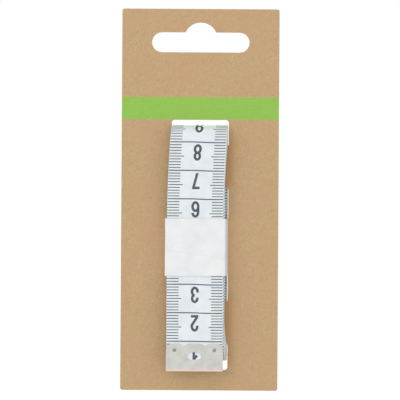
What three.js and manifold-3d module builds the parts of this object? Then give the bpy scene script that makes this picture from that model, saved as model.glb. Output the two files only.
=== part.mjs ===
// Sewing tape measure, wound flat around the tabs of its hang card and held shut by a paper band.
// Millimetres, +Z up, the card's front towards -Y. The origin is the point that rests on a peg hook.
import * as THREE from "three";
import { mergeVertices } from "three/addons/utils/BufferGeometryUtils.js";
import Module from "manifold-3d";

const wasm = await Module();
wasm.setup();

// Printed tape
const tape_length = 1500;
const tape_width = 19.8;
const tape_thickness = 0.15;

// Flat winding: half turns counted from the free end in to the core
const half_turns = 18;
const steps_per_half_turn = 12;
const stations_per_run = 6;
const layer_pitch = 0.565;
const core_clearance = 0.35;
const coil_centre_depth = 82.95;
const core_end_run = 27;
const top_bend_settle = 0.14;
const bottom_bend_settle = 0.07;

// How far the layers lean to the left: the outermost front one, the other front ones and the back ones
const outer_front_lean = 1.6;
const inner_front_lean = 1.1;
const back_lean = 0.1;
const lean_reach_below_top = 38;
const lean_reach_above_bottom = 8;

// The back layers fan out to the right by this share of their distance behind the innermost one
const back_fan_share = 0.08;

// Free end of the tape
const end_below_winding = 3.1;
const lift_hinge_above_end = 24.2;
const curl_hinge_above_end = 15.4;
const hinge_gap = 0.3;
const end_standoff = 0.25;

// End clips
const clip_overhang = 0.1;
const clip_height = 9.8;
const clip_wall = 0.25;
const clip_gap = 0.05;
const clip_end_gap = 0.15;
const clip_corner_radius = 2;
const clip_notch_place = 3.7;
const clip_notch_width = 3;
const clip_notch_depth = 0.8;
const clip_notch_round = 0.6;
const clip_scallop_rise = 0.35;
const clip_window_width = 5.2;
const clip_window_height = 2.9;
const clip_window_above_end = 5.3;
const clip_punch_place = 7;
const clip_punch_above_end = 7.4;
const clip_punch_radius = 0.6;
const clip_punch_height = 0.12;

// Paper band
const band_height = 20.2;
const band_thickness = 0.1;
const band_below_coil_centre = 1.35;
const band_face_gap = 0.25;
const band_edge_gap = 0.15;
const band_left_slack = 0.65;
const band_seam_width = 8;

// Hang card
const card_width = 55.7;
const card_thickness = 0.45;
const card_corner_radius = 0.8;
const card_bottom_margin = 7.25;
const peg_depth = 4.8;
const peg_slot_width = 34.6;
const peg_slot_height = 7.1;
const peg_bump_width = 10.8;
const peg_bump_height = 3.5;
const peg_bump_flare = 0.9;

// Opening in the card and its four tabs
const opening_above_winding = 1.9;
const opening_below_winding = 3.5;
const opening_clearance = 0.2;
const opening_corner_radius = 1;
const band_to_opening = 0.1;
const tab_below_top_bend = 1.85;
const tab_above_bottom_bend = 0.7;
const tab_height = 14.5;
const tab_split = 4;
const tab_corner_radius = 1.5;

// Overrun of every cutting tool past the face that it cuts
const overrun = 1;

// How finely a rounded corner and a round hole are drawn
const corner_steps = 5;
const round_steps = 18;

const down = (depth) => peg_depth - depth;

// Winding: radii of the runs, and where its bends are centred
const core_radius = card_thickness / 2 + core_clearance + tape_thickness / 2;
const half_pitch = layer_pitch / 2;
const run_radius = (half_turn) => core_radius + (half_turns - half_turn) * half_pitch;
const outer_radius = run_radius(0);

const free_end_drop = end_below_winding + run_radius(1.5) + tape_thickness / 2;

function first_run_length() {
  let spare = tape_length - free_end_drop - core_end_run;
  for (let h = 0; h < half_turns; h++) {
    const settled = top_bend_settle * Math.floor(h / 2) + bottom_bend_settle * Math.floor((h - 1) / 2);
    spare += h > 0 ? settled : 0;
    spare -= Math.PI * run_radius(h + 0.5);
  }
  return spare / half_turns;
}

const run_length = first_run_length();
const top_bend_z = down(coil_centre_depth) + run_length / 2;
const bottom_bend_z = top_bend_z - run_length;
const winding_top_z = top_bend_z + run_radius(0.5) + tape_thickness / 2;
const winding_bottom_z = bottom_bend_z - run_radius(1.5) - tape_thickness / 2;
const free_end_z = bottom_bend_z - free_end_drop;
const lift_hinge_z = free_end_z + lift_hinge_above_end;
const curl_hinge_z = free_end_z + curl_hinge_above_end;
const end_face_y = -outer_radius - end_standoff;

// A layer leans with its distance along the tape from the bends, where it passes through the card
const ease_out = (share) => 1 - (1 - Math.min(1, share)) ** 2;

function side_shift(half_turn, from_top, from_bottom) {
  const rise = ease_out(from_top / lean_reach_below_top);
  if (half_turn === 0) return -outer_front_lean * rise;
  const front_lean = Math.min(outer_front_lean * rise, inner_front_lean);
  const fan = back_fan_share * (run_radius(half_turn) - core_radius);
  const lean = half_turn % 2 ? (back_lean - fan) * rise : front_lean;
  return -lean * ease_out(from_bottom / lean_reach_above_bottom);
}

// Stations of the tape's middle line, from the lifting hinge in to the core
function winding_stations() {
  const stations = [];
  for (let h = 0; h <= half_turns; h++) {
    const side = h % 2 ? 1 : -1;
    const upwards = h % 2 === 0;
    const radius = run_radius(h);
    const high = top_bend_z - top_bend_settle * Math.floor(h / 2);
    const low = bottom_bend_z + bottom_bend_settle * Math.max(0, Math.floor((h - 1) / 2));
    const start = h === 0 ? lift_hinge_z + hinge_gap / 2 : upwards ? low : high;
    const end = h === half_turns ? low + core_end_run : upwards ? high : low;
    const quarter = (Math.PI / 2) * radius;
    for (let i = 0; i < stations_per_run; i++) {
      const z = start + ((end - start) * i) / stations_per_run;
      const shift = side_shift(h, high - z + quarter, z - low + quarter);
      stations.push({ x: shift, y: side * radius, z });
    }
    if (h === half_turns) {
      stations.push({ x: side_shift(h, high - end, end - low), y: side * radius, z: end });
      break;
    }
    const centre = upwards ? high : low;
    for (let i = 0; i < steps_per_half_turn; i++) {
      const share = i / steps_per_half_turn;
      const angle = share * Math.PI;
      const r = radius - share * half_pitch;
      const to_crossing = Math.abs(share - 0.5) * Math.PI * r;
      const half = share < 0.5 ? h : h + 1;
      const shift = upwards
        ? side_shift(half, to_crossing, run_length)
        : side_shift(half, run_length, to_crossing);
      const along = Math.sin(angle) * r * (upwards ? 1 : -1);
      stations.push({ x: shift, y: side * Math.cos(angle) * r, z: centre + along });
    }
  }
  return stations;
}

// The two faces of the tape at each station, from the directions of the steps beside it
function tape_faces(stations) {
  return stations.map((at, i) => {
    const before = stations[Math.max(0, i - 1)];
    const after = stations[Math.min(stations.length - 1, i + 1)];
    const length = Math.hypot(after.y - before.y, after.z - before.z);
    const out = { y: -(after.z - before.z) / length, z: (after.y - before.y) / length };
    const half = tape_thickness / 2;
    return {
      x: at.x,
      outer: [at.y + out.y * half, at.z + out.z * half],
      inner: [at.y - out.y * half, at.z - out.z * half],
    };
  });
}

// One unbroken strip of rectangular section through the stations
const section_corners = 4;

function strip(stations) {
  const positions = [];
  const index = [];
  const faces = tape_faces(stations);
  for (const { x, outer, inner } of faces) {
    positions.push(x - tape_width / 2, ...outer, x + tape_width / 2, ...outer);
    positions.push(x + tape_width / 2, ...inner, x - tape_width / 2, ...inner);
  }
  const quad = (a, b, c, d) => index.push(a, b, c, a, c, d);
  for (let i = 0; i + 1 < faces.length; i++) {
    for (let side = 0; side < section_corners; side++) {
      const here = section_corners * i + side;
      const next = section_corners * i + ((side + 1) % section_corners);
      quad(here, next, next + section_corners, here + section_corners);
    }
  }
  const last = section_corners * (faces.length - 1);
  quad(3, 2, 1, 0);
  quad(last, last + 1, last + 2, last + 3);
  const geometry = new THREE.BufferGeometry();
  geometry.setAttribute("position", new THREE.Float32BufferAttribute(positions, 3));
  geometry.setIndex(index);
  geometry.computeVertexNormals();
  return geometry;
}

// Least distance between the faces of the winding, measured from points to the steps of other turns
function least_gap(stations) {
  const faces = tape_faces(stations);
  const per_half = steps_per_half_turn + stations_per_run;
  const to_step = ([py, pz], [ay, az], [by, bz]) => {
    const [sy, sz] = [by - ay, bz - az];
    const share = ((py - ay) * sy + (pz - az) * sz) / (sy * sy + sz * sz);
    const held = Math.max(0, Math.min(1, share));
    return Math.hypot(py - ay - held * sy, pz - az - held * sz);
  };
  let least = Infinity;
  for (let i = 0; i < faces.length; i++) {
    for (let j = i + per_half / 2; j + 1 < faces.length; j++) {
      for (const [one, other] of [["inner", "outer"], ["inner", "inner"]]) {
        const there = [faces[j][other], faces[j + 1][other]];
        least = Math.min(least, to_step(faces[i][one], ...there));
        const back = [faces[Math.max(0, i - 1)][one], faces[i][one]];
        if (i > 0) least = Math.min(least, to_step(faces[j][other], ...back));
      }
    }
  }
  return least;
}

// Outlines: a list of [x, z, radius] corners, where each corner may be rounded

function rounded_outline(corners) {
  const points = [];
  corners.forEach(([x, z, radius = 0], i) => {
    const corner = new THREE.Vector2(x, z);
    const [bx, bz] = corners[(i + corners.length - 1) % corners.length];
    const [ax, az] = corners[(i + 1) % corners.length];
    const back = new THREE.Vector2(bx, bz).sub(corner).normalize();
    const ahead = new THREE.Vector2(ax, az).sub(corner).normalize();
    if (radius === 0) {
      points.push(corner);
      return;
    }
    const half_angle = Math.acos(back.dot(ahead)) / 2;
    const reach = radius / Math.tan(half_angle);
    const centre = back.clone().add(ahead).normalize().multiplyScalar(radius / Math.sin(half_angle));
    centre.add(corner);
    const from = corner.clone().addScaledVector(back, reach).sub(centre);
    const to = corner.clone().addScaledVector(ahead, reach).sub(centre);
    const turn = Math.atan2(from.cross(to), from.dot(to));
    for (let step = 0; step <= corner_steps; step++) {
      const spoke = from.clone().rotateAround(new THREE.Vector2(), (turn * step) / corner_steps);
      points.push(spoke.add(centre));
    }
  });
  return points;
}

function arc_points(x, z, radius, from, to, steps) {
  return Array.from({ length: steps + 1 }, (_, i) => {
    const angle = from + ((to - from) * i) / steps;
    return [x + radius * Math.cos(angle), z + radius * Math.sin(angle)];
  });
}

// A plate between two depths in Y, from an outline in X and Z
function plate(outline, front_y, back_y, holes = []) {
  const shape = new THREE.Shape(outline);
  for (const hole of holes) shape.holes.push(new THREE.Path(hole));
  const geometry = new THREE.ExtrudeGeometry(shape, { depth: back_y - front_y, bevelEnabled: false });
  geometry.rotateX(Math.PI / 2);
  geometry.translate(0, back_y, 0);
  return geometry;
}

const rectangle = (low_x, high_x, low_z, high_z) => [
  [low_x, low_z],
  [high_x, low_z],
  [high_x, high_z],
  [low_x, high_z],
];

// Joining and cutting

function to_solid(geometry) {
  const bare = geometry.clone();
  bare.deleteAttribute("normal");
  bare.deleteAttribute("uv");
  const merged = mergeVertices(bare);
  return new wasm.Manifold(
    new wasm.Mesh({
      numProp: 3,
      vertProperties: new Float32Array(merged.attributes.position.array),
      triVerts: new Uint32Array(merged.index.array),
    }),
  );
}

function to_geometry(solid) {
  const mesh = solid.getMesh();
  const geometry = new THREE.BufferGeometry();
  geometry.setAttribute("position", new THREE.Float32BufferAttribute(mesh.vertProperties, 3));
  geometry.setIndex(new THREE.Uint32BufferAttribute(mesh.triVerts, 1));
  geometry.computeVertexNormals();
  return geometry;
}

const join = (solids) => solids.reduce((whole, solid) => whole.add(solid));

// Materials

const finish = (color, roughness, metalness) =>
  new THREE.MeshStandardMaterial({ color, roughness, metalness });
const coated_cloth = finish("#e6edef", 0.45, 0);
const tinplate = finish("#cfcec7", 0.38, 0.9);
const white_paper = finish("#eceef0", 0.85, 0);
const kraft_board = finish("#c3a37b", 0.9, 0);

// Tape: the winding, and the free end in two lengths that lift and curl

const coil_stations = winding_stations();
const tape_coil = new THREE.Mesh(strip(coil_stations), coated_cloth);
tape_coil.name = "tape_coil";

const free_shift = -outer_front_lean;
const end_upper_stations = [
  { x: free_shift, y: -outer_radius, z: lift_hinge_z - hinge_gap / 2 },
  { x: free_shift, y: end_face_y, z: curl_hinge_z + hinge_gap / 2 },
].reverse();
const tape_end_upper = new THREE.Mesh(strip(end_upper_stations), coated_cloth);
tape_end_upper.name = "tape_end_upper";

const end_lower_stations = [
  { x: free_shift, y: end_face_y, z: free_end_z },
  { x: free_shift, y: end_face_y, z: curl_hinge_z - hinge_gap / 2 },
];
const tape_end_lower = new THREE.Mesh(strip(end_lower_stations), coated_cloth);
tape_end_lower.name = "tape_end_lower";

// End clip: a front and a back plate with scalloped edges, joined by the fold below the tape's end

const clip_width = tape_width + 2 * clip_overhang;

function scalloped_edge(end_z, top_z) {
  const shoulder_z = top_z - clip_scallop_rise;
  const valley_z = top_z - clip_notch_depth;
  const half = clip_width / 2;
  const near = clip_notch_place - clip_notch_width / 2;
  const far = clip_notch_place + clip_notch_width / 2;
  const crest = Array.from({ length: corner_steps }, (_, i) => {
    const share = (i + 1) / (corner_steps + 1);
    return [near * (1 - 2 * share), shoulder_z + clip_scallop_rise * Math.sin(Math.PI * share)];
  });
  return [
    [-half, end_z],
    [half, end_z],
    [half, shoulder_z, clip_corner_radius],
    [far, shoulder_z],
    [clip_notch_place, valley_z, clip_notch_round],
    [near, shoulder_z],
    ...crest,
    [-near, shoulder_z],
    [-clip_notch_place, valley_z, clip_notch_round],
    [-far, shoulder_z],
    [-half, shoulder_z, clip_corner_radius],
  ];
}

function end_clip(tape_end_z, tape_y, name) {
  const end_z = tape_end_z - clip_end_gap - clip_wall;
  const half_slot = tape_thickness / 2 + clip_gap;
  const outline = rounded_outline(scalloped_edge(end_z, end_z + clip_height));
  const front_y = tape_y - half_slot - clip_wall;
  const back_y = tape_y + half_slot + clip_wall;
  const window_z = end_z + clip_window_above_end;
  const window = arc_points(0, 0, 1, 0, 2 * Math.PI, round_steps).slice(0, -1);
  const oval = window.map(([x, z]) =>
    new THREE.Vector2((x * clip_window_width) / 2, window_z + (z * clip_window_height) / 2),
  );
  const front = to_solid(plate(outline, front_y, tape_y - half_slot, [oval]));
  const back = to_solid(plate(outline, tape_y + half_slot, back_y));
  const fold_outline = rectangle(-clip_width / 2, clip_width / 2, end_z, end_z + clip_wall);
  const fold = to_solid(plate(fold_outline.map(([x, z]) => new THREE.Vector2(x, z)), front_y, back_y));
  const punches = [-clip_punch_place, clip_punch_place].map((x) => {
    const height = clip_punch_height + clip_wall / 2;
    const punch = new THREE.CylinderGeometry(clip_punch_radius, clip_punch_radius, height, round_steps);
    punch.translate(x, front_y - clip_punch_height + height / 2, end_z + clip_punch_above_end);
    return to_solid(punch);
  });
  const clip = new THREE.Mesh(to_geometry(join([front, back, fold, ...punches])), tinplate);
  clip.name = name;
  return clip;
}

const outer_clip = new THREE.Group();
outer_clip.add(end_clip(free_end_z, end_face_y, "outer_end_clip"));
outer_clip.position.x = free_shift;

const core_end = coil_stations[coil_stations.length - 1];
const inner_clip = new THREE.Group();
inner_clip.add(end_clip(-core_end.z, -core_end.y, "inner_end_clip"));
inner_clip.rotation.x = Math.PI;
inner_clip.position.x = core_end.x;

// Paper band: a four-sided sleeve that follows the leaning stack, with its glued overlap behind

const band_front_y = -outer_radius - tape_thickness / 2 - band_face_gap;
const band_back_y = run_radius(1) + tape_thickness / 2 + band_face_gap;
const band_centre_z = down(coil_centre_depth) - band_below_coil_centre;
const band_left_front = -tape_width / 2 - outer_front_lean - band_left_slack;
const band_right_front = tape_width / 2 - inner_front_lean + band_edge_gap;
const band_left_back = -tape_width / 2 - back_lean - band_edge_gap;
const core_back_y = run_radius(half_turns - 1);
const band_right_core = tape_width / 2 - back_lean + band_edge_gap;
const right_slope = (band_right_core - band_right_front) / (core_back_y - band_front_y);
const band_right_back = band_right_front + right_slope * (band_back_y - band_front_y);

function band_section(grow) {
  return [
    [band_left_front - grow, band_front_y - grow],
    [band_right_front + grow, band_front_y - grow],
    [band_right_back + grow, band_back_y + grow],
    [band_left_back - grow, band_back_y + grow],
  ];
}

// A solid between two heights, from a section in X and Y
function prism(section, low_z, high_z) {
  const shape = new THREE.Shape(section.map(([x, y]) => new THREE.Vector2(x, y)));
  const geometry = new THREE.ExtrudeGeometry(shape, { depth: high_z - low_z, bevelEnabled: false });
  geometry.translate(0, 0, low_z);
  return to_solid(geometry);
}

function paper_band() {
  const low_z = band_centre_z - band_height / 2;
  const high_z = low_z + band_height;
  const seam_left = (band_left_back + band_right_back - band_seam_width) / 2;
  const seam = [
    [seam_left, band_back_y + band_thickness / 2],
    [seam_left + band_seam_width, band_back_y + band_thickness / 2],
    [seam_left + band_seam_width, band_back_y + 2 * band_thickness],
    [seam_left, band_back_y + 2 * band_thickness],
  ];
  const sleeve = prism(band_section(band_thickness), low_z, high_z)
    .add(prism(seam, low_z, high_z))
    .subtract(prism(band_section(0), low_z - overrun, high_z + overrun));
  const band = new THREE.Mesh(to_geometry(sleeve), white_paper);
  band.name = "paper_band";
  return band;
}

// Hang card: a hanging slot, and one opening with two pairs of tabs that reach into the winding

function peg_slot() {
  const radius = peg_slot_height / 2;
  const end_x = peg_slot_width / 2 - radius;
  const shoulder_z = -peg_bump_height;
  const middle_z = shoulder_z - radius;
  const half = peg_bump_width / 2;
  const bump_radius = (half * half + peg_bump_height * peg_bump_height) / (2 * peg_bump_height);
  const edge = Math.atan2(bump_radius - peg_bump_height, half);
  const quarter = Math.PI / 2;
  const bump = arc_points(0, -bump_radius, bump_radius, edge, Math.PI - edge, round_steps);
  return rounded_outline([
    ...arc_points(end_x, middle_z, radius, -quarter, quarter, round_steps / 2),
    [half + peg_bump_flare, shoulder_z],
    ...bump,
    [-half - peg_bump_flare, shoulder_z],
    ...arc_points(-end_x, middle_z, radius, quarter, 3 * quarter, round_steps / 2),
  ]);
}

const opening_top_z = winding_top_z + opening_above_winding;
const opening_bottom_z = winding_bottom_z - opening_below_winding;
const upper_tab_top_z = top_bend_z - tab_below_top_bend;
const lower_tab_bottom_z = bottom_bend_z + tab_above_bottom_bend;

function opening() {
  const half = tape_width / 2 + opening_clearance;
  const core_share = (card_thickness / 2 - band_front_y) / (band_back_y - band_front_y);
  const front_share = (-card_thickness / 2 - band_front_y) / (band_back_y - band_front_y);
  const wall_left = band_left_front + (band_left_back - band_left_front) * front_share;
  const wall_right = band_right_front + (band_right_back - band_right_front) * core_share;
  const left = wall_left - band_thickness - band_to_opening;
  const right = Math.max(half, wall_right + band_thickness + band_to_opening);
  const r = opening_corner_radius;
  const t = tab_corner_radius;
  const tab = tab_split / 2;
  const upper = [upper_tab_top_z, upper_tab_top_z - tab_height];
  const lower = [lower_tab_bottom_z + tab_height, lower_tab_bottom_z];
  return rounded_outline([
    [-half, opening_top_z, r],
    [-half, upper[0], r],
    [-tab, upper[0], t],
    [-tab, upper[1], t],
    [left, upper[1], r],
    [left, lower[0], r],
    [-tab, lower[0], t],
    [-tab, lower[1], t],
    [-half, lower[1], r],
    [-half, opening_bottom_z, r],
    [half, opening_bottom_z, r],
    [half, lower[1], r],
    [tab, lower[1], t],
    [tab, lower[0], t],
    [right, lower[0], r],
    [right, upper[1], r],
    [tab, upper[1], t],
    [tab, upper[0], t],
    [half, upper[0], r],
    [half, opening_top_z, r],
  ]);
}

function hang_card() {
  const low_z = opening_bottom_z - card_bottom_margin;
  const outline = rounded_outline(
    rectangle(-card_width / 2, card_width / 2, low_z, peg_depth).map((corner) => [
      ...corner,
      card_corner_radius,
    ]),
  );
  const board = plate(outline, -card_thickness / 2, card_thickness / 2, [peg_slot(), opening()]);
  const card = new THREE.Mesh(board, kraft_board);
  card.name = "hang_card";
  return card;
}

console.log(`least gap of the winding to itself: ${least_gap(coil_stations).toFixed(4)} mm`);
const winding_ends = [winding_top_z, winding_bottom_z].map((z) => z.toFixed(2));
console.log(`first run ${run_length.toFixed(2)} mm, winding from ${winding_ends.join(" to ")} mm`);

const tape_measure = new THREE.Group();
tape_measure.add(hang_card(), tape_coil, inner_clip, paper_band());
tape_measure.add(tape_end_upper, tape_end_lower, outer_clip);

export default tape_measure;
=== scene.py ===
import math

import bmesh
import bpy
from mathutils import Matrix, Vector, noise


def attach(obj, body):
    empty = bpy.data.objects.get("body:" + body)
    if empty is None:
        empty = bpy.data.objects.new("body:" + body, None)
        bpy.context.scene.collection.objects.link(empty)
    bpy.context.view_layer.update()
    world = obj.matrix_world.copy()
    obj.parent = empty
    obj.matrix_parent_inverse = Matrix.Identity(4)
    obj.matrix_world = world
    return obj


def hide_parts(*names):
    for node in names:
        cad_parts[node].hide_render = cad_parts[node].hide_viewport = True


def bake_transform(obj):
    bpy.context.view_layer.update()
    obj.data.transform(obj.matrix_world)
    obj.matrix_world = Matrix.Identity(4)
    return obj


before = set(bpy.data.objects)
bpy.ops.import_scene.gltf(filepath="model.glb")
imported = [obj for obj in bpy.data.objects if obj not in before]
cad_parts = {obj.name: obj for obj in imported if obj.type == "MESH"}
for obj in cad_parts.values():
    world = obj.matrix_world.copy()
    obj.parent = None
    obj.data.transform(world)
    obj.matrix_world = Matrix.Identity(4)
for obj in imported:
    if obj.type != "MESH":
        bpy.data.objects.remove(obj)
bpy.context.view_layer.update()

# Camera: level with the middle of the card and square to it, 0.6 m away.
# The card fills most of the picture's height, and hangs a third of a degree out of true.
MM = 0.001
PICTURE_WIDTH = 141.8 * MM
CAMERA_DISTANCE = 600 * MM
CAMERA_SIDE, CAMERA_HEIGHT = 0.04 * MM, -62.9 * MM
CARD_TILT = math.radians(0.36)
SENSOR = 36

camera_data = bpy.data.cameras.new("camera")
camera_data.sensor_width = SENSOR
camera_data.lens = SENSOR * CAMERA_DISTANCE / PICTURE_WIDTH
camera_data.clip_start = 50 * MM
camera_data.clip_end = 20
camera = bpy.data.objects.new("camera", camera_data)
camera.matrix_world = (
    Matrix.Translation((CAMERA_SIDE, -CAMERA_DISTANCE, CAMERA_HEIGHT))
    @ Matrix.Rotation(-CARD_TILT, 4, "Y")
    @ Matrix.Rotation(math.pi / 2, 4, "X")
)
bpy.context.collection.objects.link(camera)
bpy.context.scene.camera = camera


# Hang card: uncoated kraft board, die-cut with a hanging slot and an opening whose tabs hold the tape.
# Its front carries a plain printed green stripe, and its cut edges show the paler middle of the board.
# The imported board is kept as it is, and only gets its material here.
CARD_FRONT = -0.225 * MM
FACE_DEPTHS = (0.2 * MM, 0.222 * MM)
STRIPE_TOP, STRIPE_BOTTOM = -26.5 * MM, -34.35 * MM
STRIPE_BLUR = 0.03 * MM

# Where the painted orange shade beside the winding fades in from its right, left, top and bottom, and past
# the band
PAINTED_SHADE_FROM_RIGHT, PAINTED_SHADE_FROM_LEFT = (13.2 * MM, 10.4 * MM), (0, 5 * MM)
PAINTED_SHADE_FROM_TOP, PAINTED_SHADE_FROM_BOTTOM = (-38 * MM, -43 * MM), (-123 * MM, -118 * MM)
WINDING_MIDDLE, PAINTED_SHADE_PAST_BAND = -76.5 * MM, (17 * MM, 21 * MM)

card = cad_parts["hang_card"]


class Wire:
    """A socket's value, which sums and multiplies like a number."""

    def __init__(self, graph, socket):
        self.graph = graph
        self.socket = socket

    def __add__(self, other):
        return self.graph.math("ADD", self, other)

    def __radd__(self, other):
        return self.graph.math("ADD", other, self)

    def __sub__(self, other):
        return self.graph.math("SUBTRACT", self, other)

    def __rsub__(self, other):
        return self.graph.math("SUBTRACT", other, self)

    def __mul__(self, other):
        return self.graph.math("MULTIPLY", self, other)

    def __rmul__(self, other):
        return self.graph.math("MULTIPLY", other, self)

    def __truediv__(self, other):
        return self.graph.math("DIVIDE", self, other)


class Graph:
    """Makes the nodes of one tree."""

    def __init__(self, tree):
        self.tree = tree

    def node(self, kind, settings=None, inputs=None, output=0):
        made = self.tree.nodes.new(kind)
        for name, value in (settings or {}).items():
            setattr(made, name, value)
        for name, value in (inputs or {}).items():
            if isinstance(value, Wire):
                self.tree.links.new(value.socket, made.inputs[name])
            else:
                made.inputs[name].default_value = value
        return Wire(self, made.outputs[output])

    def math(self, operation, *values):
        return self.node("ShaderNodeMath", {"operation": operation}, dict(enumerate(values)))

    def ramp(self, value, low, high, to_low=0.0, to_high=1.0):
        spans = {"Value": value, "From Min": low, "From Max": high, "To Min": to_low, "To Max": to_high}
        return self.node("ShaderNodeMapRange", {"interpolation_type": "SMOOTHSTEP"}, spans)

    def noise(self, place, scale, detail=2.0, roughness=0.5):
        inputs = {"Vector": place, "Scale": scale, "Detail": detail, "Roughness": roughness}
        return self.node("ShaderNodeTexNoise", None, inputs)

    def stretched(self, place, lengths, turn=(0.0, 0.0, 0.0)):
        """The place, drawn out so that a texture on it grows by these lengths along the turned axes."""
        inputs = {"Vector": place, "Rotation": turn, "Scale": lengths}
        return self.node("ShaderNodeMapping", {"vector_type": "TEXTURE"}, inputs)

    def mix(self, share, first, second):
        return self.node("ShaderNodeMix", {"data_type": "RGBA"}, {0: share, 6: first, 7: second}, 2)

    def axes(self, vector):
        split = self.tree.nodes.new("ShaderNodeSeparateXYZ")
        self.tree.links.new(vector.socket, split.inputs[0])
        return [Wire(self, output) for output in split.outputs]


def shown(red, green, blue):
    """A colour given as it shows on screen, from 0 to 255."""
    straight = [c / 255 / 12.92 if c < 11 else ((c / 255 + 0.055) / 1.055) ** 2.4 for c in (red, green, blue)]
    return (*straight, 1.0)


def surface(name):
    """An empty material, its graph, its Principled node's inputs, and the place on the object."""
    material = bpy.data.materials.new(name)
    material.use_nodes = True
    tree = material.node_tree
    tree.nodes.clear()
    shader = tree.nodes.new("ShaderNodeBsdfPrincipled")
    output = tree.nodes.new("ShaderNodeOutputMaterial")
    tree.links.new(shader.outputs[0], output.inputs[0])
    graph = Graph(tree)
    place = graph.node("ShaderNodeTexCoord", output="Object")
    return material, graph, shader.inputs, place


def feed(graph, inputs, **values):
    for name, value in values.items():
        socket = inputs[name.replace("_", " ")]
        if isinstance(value, Wire):
            graph.tree.links.new(value.socket, socket)
        else:
            socket.default_value = value


def bump(graph, height, distance, strength=1.0):
    return graph.node("ShaderNodeBump", None, {"Height": height, "Distance": distance, "Strength": strength})


def kraft_board():
    """Kraft board with felted fibres, and a painted orange shade right of the winding that stands in for
    light bounced between the two.
    """
    material, graph, inputs, place = surface("kraft_board")
    x, y, z = graph.axes(place)
    cloud = graph.noise(place, 90, 3)
    grain = graph.noise(place, 2300, 4, 0.65)
    flecks = 0.0
    for degrees, scale in ((20, 1500), (78, 1350), (131, 1600), (164, 1450)):
        along = graph.stretched(place, (7.0, 1.0, 1.0), (0.0, math.radians(degrees), 0.0))
        flecks = flecks + graph.ramp(graph.noise(along, scale, 1), 0.69, 0.77)
    kraft = graph.mix(graph.ramp(grain, 0.34, 0.66), shown(188, 157, 117), shown(201, 170, 129))
    kraft = graph.mix(0.45 * graph.ramp(cloud, 0.35, 0.65), kraft, shown(197, 161, 123))
    kraft = graph.mix(0.2 * flecks, kraft, shown(160, 126, 90))
    pale = graph.stretched(place, (5.0, 1.0, 1.0), (0.0, 1.9, 0.0))
    kraft = graph.mix(0.22 * graph.ramp(graph.noise(pale, 1250, 1), 0.68, 0.78), kraft, shown(222, 198, 164))
    # Painted shade: the board is tinted orange right of the winding, standing in for its shade and the light
    # bounced off it.
    painted_bounce_shade = graph.ramp(x, *PAINTED_SHADE_FROM_RIGHT) * graph.ramp(x, *PAINTED_SHADE_FROM_LEFT)
    painted_bounce_shade = painted_bounce_shade * graph.ramp(z, *PAINTED_SHADE_FROM_TOP) * graph.ramp(z, *PAINTED_SHADE_FROM_BOTTOM)
    painted_bounce_shade = painted_bounce_shade * graph.ramp(graph.math("ABSOLUTE", z - WINDING_MIDDLE), *PAINTED_SHADE_PAST_BAND)
    kraft = graph.mix(0.85 * painted_bounce_shade, kraft, shown(190, 149, 105))
    layers = graph.noise(graph.stretched(place, (4.0, 0.11, 4.0)), 1700, 2)
    edge = graph.mix(graph.ramp(layers, 0.35, 0.65), shown(176, 146, 110), shown(214, 190, 156))
    board = graph.mix(graph.ramp(graph.math("ABSOLUTE", y), *FACE_DEPTHS), edge, kraft)
    printed = z + STRIPE_BLUR * grain
    below_top = graph.ramp(printed, STRIPE_TOP + STRIPE_BLUR, STRIPE_TOP - STRIPE_BLUR)
    above_bottom = graph.ramp(printed, STRIPE_BOTTOM - STRIPE_BLUR, STRIPE_BOTTOM + STRIPE_BLUR)
    on_front = graph.ramp(y, 0.98 * CARD_FRONT, 0.995 * CARD_FRONT)
    stripe = below_top * above_bottom * on_front
    green = graph.mix(graph.ramp(grain, 0.34, 0.68), shown(142, 190, 79), shown(149, 197, 87))
    colour = graph.mix(stripe * (0.99 - 0.1 * flecks), board, green)
    feed(
        graph,
        inputs,
        Base_Color=colour,
        Roughness=graph.ramp(grain, 0.3, 0.7, 0.9, 0.78) - 0.18 * stripe,
        Normal=bump(graph, grain + 0.3 * flecks, 0.03 * MM, 0.5),
    )
    inputs["Specular IOR Level"].default_value = 0.25
    return material


def dress(obj, *materials):
    obj.data.materials.clear()
    for material in materials:
        obj.data.materials.append(material)


dress(card, kraft_board())


# Printed tape: one strip of white coated cloth, wound flat round the card's tabs from its free end up
# the front and in to the core. It is built in three lengths that meet end to end; only the coil follows a
# body.
# Its layers lean a little more gently than the solids', so that the thicker cloth clears the card.
TAPE_WIDTH = 19.8 * MM
TAPE_THICKNESS = 0.3 * MM
CLOTH_EDGE, SELVEDGE = 0.06 * MM, 0.12 * MM
THREAD_PITCH = 0.42 * MM
CRIMPED_THICKNESS, CRIMPED_LENGTH, CRIMP_REACH = 0.26 * MM, 9.4 * MM, 1.5 * MM
HALF_TURNS = 18
PITCH = 0.565 * MM
CORE_RADIUS = 0.65 * MM
TOP_BEND, BOTTOM_BEND = -42.08 * MM, -114.22 * MM
TOP_SETTLE, BOTTOM_SETTLE = 0.14 * MM, 0.07 * MM
CORE_END_RUN = 27 * MM
FREE_END = -122.707 * MM
LIFT_HINGE, CURL_HINGE = -98.507 * MM, -107.307 * MM
END_STANDOFF = 0.25 * MM
OUTER_LEAN, INNER_LEAN, BACK_LEAN = 1.6 * MM, 1.1 * MM, 0.1 * MM
LEAN_REACH_TOP, LEAN_REACH_BOTTOM = 38 * MM, 12 * MM
BACK_FAN_SHARE = 0.05
BEND_STEPS = 56
RUN_STEP, LEAST_STEP = 2.4 * MM, 0.05 * MM


def run_radius(half_turn):
    """Distance of a straight run from the card's middle; run 0 is the outermost one."""
    return CORE_RADIUS + (HALF_TURNS - half_turn) * PITCH / 2


def smooth(share):
    share = min(1.0, max(0.0, share))
    return share * share * (3 - 2 * share)


def ease_out(share):
    return 1 - (1 - min(1.0, share)) ** 2


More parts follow.
